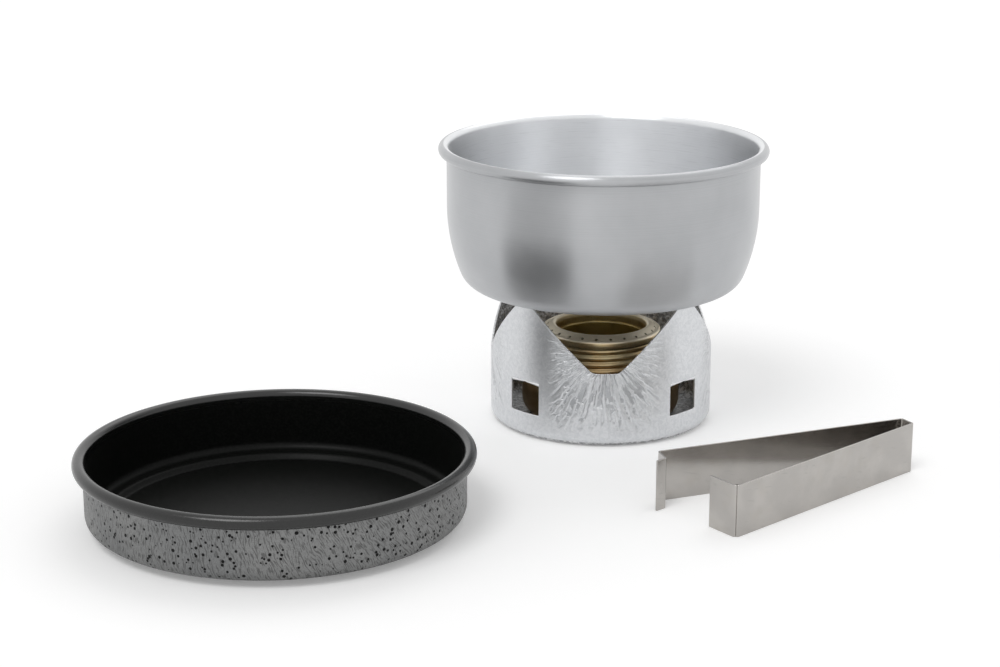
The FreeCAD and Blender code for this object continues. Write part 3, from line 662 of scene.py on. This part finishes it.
# this outline runs down the outside, so it is turned the other way
ring = lathe(jet_ring_outline()[::-1], 240, closed=True).build(
    "burner_jet_ring_drawn", BRASS, "burner", "burner_brass", ["burner_jet_ring"])

JETS = 24
JET_CIRCLE = 24.75
JET_Z = 42.6
JET_LEAN = (0.52, 0.85)
JET_RADIUS = 0.7
jets = []
for number in range(JETS):
    a = 2 * math.pi * (number + 0.5) / JETS
    spot = (JET_CIRCLE * math.cos(a), JET_CIRCLE * math.sin(a), JET_Z)
    lean = (JET_LEAN[0] * math.cos(a), JET_LEAN[0] * math.sin(a), JET_LEAN[1])
    jets.append((spot, lean, JET_RADIUS, 3.0))
drill(ring, jets)

TUBE = 21.0
TUBE_BORE = 20.2
TUBE_LOW, TUBE_TOP = (corner[2] for corner in box_mm("burner_inner_wall"))
TUBE_MIDDLE = 20.0
FUEL_HOLES = 8
FUEL_HOLE_Z = 6.6
FUEL_HOLE_RADIUS = 2.0
tube_outline = [(TUBE_BORE, TUBE_LOW), (TUBE, TUBE_LOW), (TUBE, TUBE_MIDDLE),
                (TUBE, TUBE_TOP), (TUBE_BORE, TUBE_TOP), (TUBE_BORE, TUBE_MIDDLE)]
tube = lathe(tube_outline, 192, closed=True).build(
    "burner_wall_tube", BRASS, "burner", "burner_brass", ["burner_inner_wall"])
fuel_holes = []
for number in range(FUEL_HOLES):
    a = 2 * math.pi * number / FUEL_HOLES
    way = (math.cos(a), math.sin(a), 0.0)
    middle = 0.5 * (TUBE + TUBE_BORE)
    fuel_holes.append(((middle * way[0], middle * way[1], FUEL_HOLE_Z), way, FUEL_HOLE_RADIUS, 5.0))
drill(tube, fuel_holes)

wick = frame["nodes"]["burner_wick"]
wick.data.materials.clear()
wick.data.materials.append(wick_felt())

# ---- stand ----

stand_high = box_mm("stand")[1]
STAND_RADIUS = stand_high[0]
STAND_HEIGHT = stand_high[2]
STAND_SHEET = 1.0
STAND_CORNER = 5.0
NOTCH_FLOOR = 34.5
NOTCH_HALF = 6.0
LOBE_ARC = math.pi * STAND_RADIUS / 4 - 3.5
WINDOW_LOW = 12.0
WINDOW_CUT = 27.6
WINDOW_ANGLE = math.degrees(math.asin(8.5 / STAND_RADIUS))
TONGUE_REACH = 12.6
TONGUE_BEND = 0.7
TONGUE_SAG = 1.3
# columns of the wall on each side of a window's middle: to its edge, and across the lobe's top
EDGE_COLUMNS = 6
TOP_COLUMNS = 4
HALF_WINDOW = EDGE_COLUMNS + TOP_COLUMNS


def wall_top(angle):
    """Height of the wall's edge at an angle in degrees from the nearest notch's middle."""
    aside = math.radians(abs(angle)) * STAND_RADIUS
    slope = (STAND_HEIGHT - NOTCH_FLOOR) / (LOBE_ARC - NOTCH_HALF)
    edge = NOTCH_FLOOR + (aside - NOTCH_HALF) * slope
    # the notch's bottom corners are slightly rounded
    blend = 0.5 * (edge + NOTCH_FLOOR + math.sqrt((edge - NOTCH_FLOOR) ** 2 + 0.35))
    return min(STAND_HEIGHT, blend)


def stand_columns():
    """Angles of the wall's columns, and the numbers of those across each window."""
    notch = math.degrees(NOTCH_HALF / STAND_RADIUS)
    lobe = math.degrees(LOBE_ARC / STAND_RADIUS)
    stops = [(0.0, 0), (notch, 7), (45.0 - WINDOW_ANGLE, 28),
             (lobe, EDGE_COLUMNS), (45.0, TOP_COLUMNS)]
    half = [0.0]
    for (start, unused), (end, count) in zip(stops, stops[1:]):
        half += [start + (end - start) * k / count for k in range(1, count + 1)]
    across = [-a for a in reversed(half[1:])] + half[:-1]
    columns = []
    for quarter in range(4):
        columns += [(90.0 * quarter - 90.0 + a, a) for a in across]
    windows = []
    for quarter in range(4):
        first = quarter * len(across) + len(across) - HALF_WINDOW
        windows.append([(first + k) % (4 * len(across)) for k in range(2 * HALF_WINDOW + 1)])
    return columns, windows


def build_stand():
    shell = Shell()
    columns, windows = stand_columns()
    angles = [math.radians(a) for a, unused in columns]
    tops = [wall_top(a) for unused, a in columns]
    sides = []
    for sheet in (0.0, STAND_SHEET):
        radius = STAND_RADIUS - sheet
        corner = STAND_CORNER - sheet
        centre = STAND_RADIUS - STAND_CORNER
        tip = shell.point(0.0, 0.0, sheet)
        rings = [shell.ring(r, sheet, angles) for r in (12.0, 26.0, 38.0)]
        for r, z in arc(centre, STAND_CORNER, corner, -90, 0, 9):
            rings.append(shell.ring(r, z, angles))
        for z in (7.5, 9.75, WINDOW_LOW):
            rings.append(shell.ring(radius, z, angles))
        low = len(rings) - 1
        for k in range(1, 9):
            rings.append(shell.ring(radius, WINDOW_LOW + (WINDOW_CUT - WINDOW_LOW) * k / 8, angles))
        high = len(rings) - 1
        for k in range(1, 27):
            start = len(shell.points)
            for a, top in zip(angles, tops):
                z = WINDOW_CUT + (top - WINDOW_CUT) * k / 26
                shell.points.append((radius * math.cos(a), radius * math.sin(a), z))
            rings.append(list(range(start, start + len(angles))))
        sides.append((tip, rings))
    missing = set()
    for window in windows:
        missing.update(window[:-1])
    outer, inner = sides[0][1], sides[1][1]
    shell.fan(sides[0][0], outer[0])
    shell.fan(sides[1][0], inner[0], flip=True)
    for k in range(len(outer) - 1):
        skip = missing if low <= k < high else ()
        shell.band(outer[k], outer[k + 1], skip)
        shell.band(inner[k + 1], inner[k], skip)
    shell.band(outer[-1], inner[-1])
    for window in windows:
        add_window(shell, window, outer, inner, low, high, columns)
    return shell


def add_window(shell, window, outer, inner, low, high, columns):
    """Rim of one window, and the tongue bent inwards from its upper edge."""
    for a, b in zip(window, window[1:]):
        shell.faces.append((inner[low][a], outer[low][a], outer[low][b], inner[low][b]))
    for row in range(low, high):
        a, b = window[0], window[-1]
        shell.faces.append((outer[row][a], inner[row][a], inner[row + 1][a], outer[row + 1][a]))
        shell.faces.append((inner[row][b], outer[row][b], outer[row + 1][b], inner[row + 1][b]))
    middle = math.radians(columns[window[HALF_WINDOW]][0])
    inward = (-math.cos(middle), -math.sin(middle))
    # path of the sheet's inner and outer face: (distance inwards, drop), from the wall
    bend = TONGUE_BEND
    turn = [math.radians(t) for t in (15, 30, 45, 60, 75, 90)]
    path = [((bend + STAND_SHEET) * (1 - math.cos(t)), (bend + STAND_SHEET) * math.sin(t),
             STAND_SHEET + bend * (1 - math.cos(t)), bend * math.sin(t)) for t in turn]
    for k in range(1, 8):
        far = TONGUE_REACH * k / 7
        sag = TONGUE_SAG * k / 7
        path.append((bend + STAND_SHEET + far, bend + STAND_SHEET + sag,
                     bend + STAND_SHEET + far, bend + sag))
    last = 2 * HALF_WINDOW
    last_outer = [outer[high][c] for c in window]
    last_inner = [inner[high][c] for c in window]
    for far_outer, drop_outer, far_inner, drop_inner in path:
        row_outer = []
        row_inner = []
        for number, c in enumerate(window):
            aside = (number - HALF_WINDOW) / HALF_WINDOW
            ease = min(1.0, far_outer / 1.5)
            droop = ease * (1.1 * aside * aside - 0.75 * math.exp(-(aside * 8.5 / 1.0) ** 2))
            x, y, z = shell.points[outer[high][c]]
            row_outer.append(shell.point(x + inward[0] * far_outer, y + inward[1] * far_outer,
                                         z - drop_outer - droop))
            row_inner.append(shell.point(x + inward[0] * far_inner, y + inward[1] * far_inner,
                                         z - drop_inner - droop))
        for a in range(last):
            b = a + 1
            shell.faces.append((row_outer[a], row_outer[b], last_outer[b], last_outer[a]))
            shell.faces.append((last_inner[a], last_inner[b], row_inner[b], row_inner[a]))
        shell.faces.append((last_inner[0], row_inner[0], row_outer[0], last_outer[0]))
        shell.faces.append((last_outer[last], row_outer[last], row_inner[last], last_inner[last]))
        last_outer, last_inner = row_outer, row_inner
    for a in range(last):
        shell.faces.append((last_inner[a], last_inner[a + 1], last_outer[a + 1], last_outer[a]))


build_stand().build("stand_pressed", WRINKLED, "stand", "stand_aluminium", ["stand"], 0.22)

# ---- handle ----

STRIP_HEIGHT = box_mm("handle_long_arm")[1][2]
STRIP_HALF = 0.4


def turned(point, base, degrees):
    """A point of an arm's own plan, in the plan of the whole kit."""
    c, s = math.cos(math.radians(degrees)), math.sin(math.radians(degrees))
    return (base[0] + c * point[0] - s * point[1], base[1] + s * point[0] + c * point[1])


def along(start, length, degrees):
    return (start[0] + length * math.cos(math.radians(degrees)),
            start[1] + length * math.sin(math.radians(degrees)))


def rounded_path(corners, radii, pinch=0.0):
    """Smooth centre line through a strip's bends; a pinch dents the last bend's outside."""
    path = [corners[0]]
    for before, here, after, radius in zip(corners, corners[1:], corners[2:], radii):
        v = np.array(before) - here
        w = np.array(after) - here
        v /= np.linalg.norm(v)
        w /= np.linalg.norm(w)
        half = 0.5 * math.acos(max(-1.0, min(1.0, float(v @ w))))
        reach = radius / math.tan(half)
        middle = np.array(here) + (v + w) / np.linalg.norm(v + w) * radius / math.sin(half)
        start = np.array(here) + v * reach - middle
        end = np.array(here) + w * reach - middle
        sweep = math.atan2(start[0] * end[1] - start[1] * end[0], float(start @ end))
        steps = max(3, int(abs(math.degrees(sweep)) / 12))
        dent = pinch if after is corners[-1] else 0.0
        if dent:
            steps = 16
        for k in range(steps + 1):
            a = sweep * k / steps
            scale = 1.0 - dent / radius * math.exp(-((k / steps - 0.5) / 0.13) ** 2)
            path.append((middle[0] + scale * (start[0] * math.cos(a) - start[1] * math.sin(a)),
                         middle[1] + scale * (start[0] * math.sin(a) + start[1] * math.cos(a))))
    path.append(corners[-1])
    return path


def strip_shell(path):
    """Upright strip that follows a plan path."""
    shell = Shell()
    path = [np.array(p, float) for p in path]
    rows = []
    for k, here in enumerate(path):
        ahead = path[min(k + 1, len(path) - 1)] - path[max(k - 1, 0)]
        ahead /= np.linalg.norm(ahead)
        side = np.array((-ahead[1], ahead[0])) * STRIP_HALF
        left, right = here + side, here - side
        rows.append([shell.point(*right, 0.0), shell.point(*left, 0.0),
                     shell.point(*left, STRIP_HEIGHT), shell.point(*right, STRIP_HEIGHT)])
    for near, far in zip(rows, rows[1:]):
        for a in range(4):
            b = (a + 1) % 4
            shell.faces.append((near[a], near[b], far[b], far[a]))
    shell.faces.append(tuple(reversed(rows[0])))
    shell.faces.append(tuple(rows[-1]))
    return shell


LONG_BASE = (127.7, -75.15)
LONG_TURN = 201.8
squeeze = next(joint for joint in frame["record"]["behaviour"]["joints"]
               if joint["name"] == "handle_squeeze")
HINGE = tuple(round(value / MM, 3) for value in squeeze["pos_m"][:2])
SHORT_TURN = 223.5

long_corner = (117.0, 0.0)
jaw_end = along(long_corner, 9.0, 83.7)
lip_end = along(jaw_end, 5.2, 19.6)
bow_end = along((0.0, 0.0), 5.5, 97.8)
long_points = (bow_end, (0.0, 0.0), long_corner, jaw_end, lip_end)
long_plan = [turned(p, LONG_BASE, LONG_TURN) for p in long_points]
strip_shell(rounded_path(long_plan, (1.1, 1.1, 1.1))).build(
    "handle_long_strip", STEEL, "handle", "handle_steel", ["handle_long_arm"], 0.14)

short_stub = along((0.0, 0.0), 1.6, 299.6 - 180.0 - SHORT_TURN)
short_corner = (115.7, 0.0)
short_end = along(short_corner, 15.8, -97.1)
short_points = (short_stub, (0.0, 0.0), short_corner, short_end)
short_plan = [turned(p, HINGE, SHORT_TURN) for p in short_points]
strip_shell(rounded_path(short_plan, (0.9, 1.7), 0.9)).build(
    "handle_short_strip", STEEL, "handle_free_arm", "handle_steel", ["handle_short_arm"], 0.14)

# ---- floor, light and world ----


def floor_material():
    """Pale matt floor, white where seen or mirrored, wherever no shadow falls."""
    g = Graph("studio_floor")
    place = g.place()[0]
    mottle = g.noise(place, 0.004, 2.0)
    colour = g.blend(mottle, (0.90, 0.90, 0.90), (0.92, 0.92, 0.92))
    path = g.node("LightPath", {}).outputs
    rays = g.math("MAXIMUM", path["Is Camera Ray"], path["Is Glossy Ray"])
    rays = g.math("MAXIMUM", rays, path["Is Transmission Ray"])
    g.put(g.shader.inputs["Emission Color"], (1.0, 1.0, 1.0, 1.0))
    g.put(g.shader.inputs["Emission Strength"], g.math("MULTIPLY", rays, FLOOR_LIFT))
    return g.finish(colour, 0.9, metallic=0.0)


FLOOR_LIFT = 0.20
TABLE_EDGE = -0.46
floor_mesh = bpy.data.meshes.new("floor")
FLOOR_REACH = 9
floor_corners = [(-FLOOR_REACH, TABLE_EDGE, 0), (FLOOR_REACH, TABLE_EDGE, 0),
                 (FLOOR_REACH, FLOOR_REACH, 0), (-FLOOR_REACH, FLOOR_REACH, 0)]
floor_mesh.from_pydata(floor_corners, [], [(0, 1, 2, 3)])
floor_mesh.materials.append(floor_material())
floor = bpy.data.objects.new("floor", floor_mesh)
bpy.context.scene.collection.objects.link(floor)


def soft_sun(name, azimuth, elevation, spread_degrees, power):
    """Even light from a wide patch of sky; azimuth 0 is the front, positive to the right."""
    data = bpy.data.lights.new(name, "SUN")
    data.angle = math.radians(spread_degrees)
    data.energy = power
    lamp = bpy.data.objects.new(name, data)
    lamp.rotation_euler = (math.radians(90.0 - elevation), 0.0, math.radians(azimuth))
    bpy.context.scene.collection.objects.link(lamp)


soft_sun("key", -35.0, 58.0, 28.0, 0.75)
soft_sun("back_light", 165.0, 50.0, 40.0, 0.35)

# World: white where it is seen, mirrored or looked through, and a plain level as light.
ROOM_LEVEL = 0.62
world = bpy.data.worlds.new("studio")
world.use_nodes = True
bpy.context.scene.world = world
tree = world.node_tree


def world_node(kind, links, **settings):
    node = tree.nodes.new("ShaderNode" + kind)
    for key, value in settings.items():
        setattr(node, key, value)
    for key, value in links.items():
        if isinstance(value, bpy.types.NodeSocket):
            tree.links.new(value, node.inputs[key])
        else:
            node.inputs[key].default_value = value
    return node.outputs[0]


rays = tree.nodes.new("ShaderNodeLightPath")
seen = world_node("Math", {0: rays.outputs["Is Camera Ray"], 1: rays.outputs["Is Glossy Ray"]},
                  operation="MAXIMUM")
seen = world_node("Math", {0: seen, 1: rays.outputs["Is Transmission Ray"]}, operation="MAXIMUM")
level = world_node("Mix", {0: seen, 2: ROOM_LEVEL, 3: 1.0})
background = tree.nodes["Background"]
background.inputs["Color"].default_value = (1.0, 1.0, 1.0, 1.0)
tree.links.new(level, background.inputs["Strength"])

view = bpy.context.scene.view_settings
view.view_transform = "Standard"
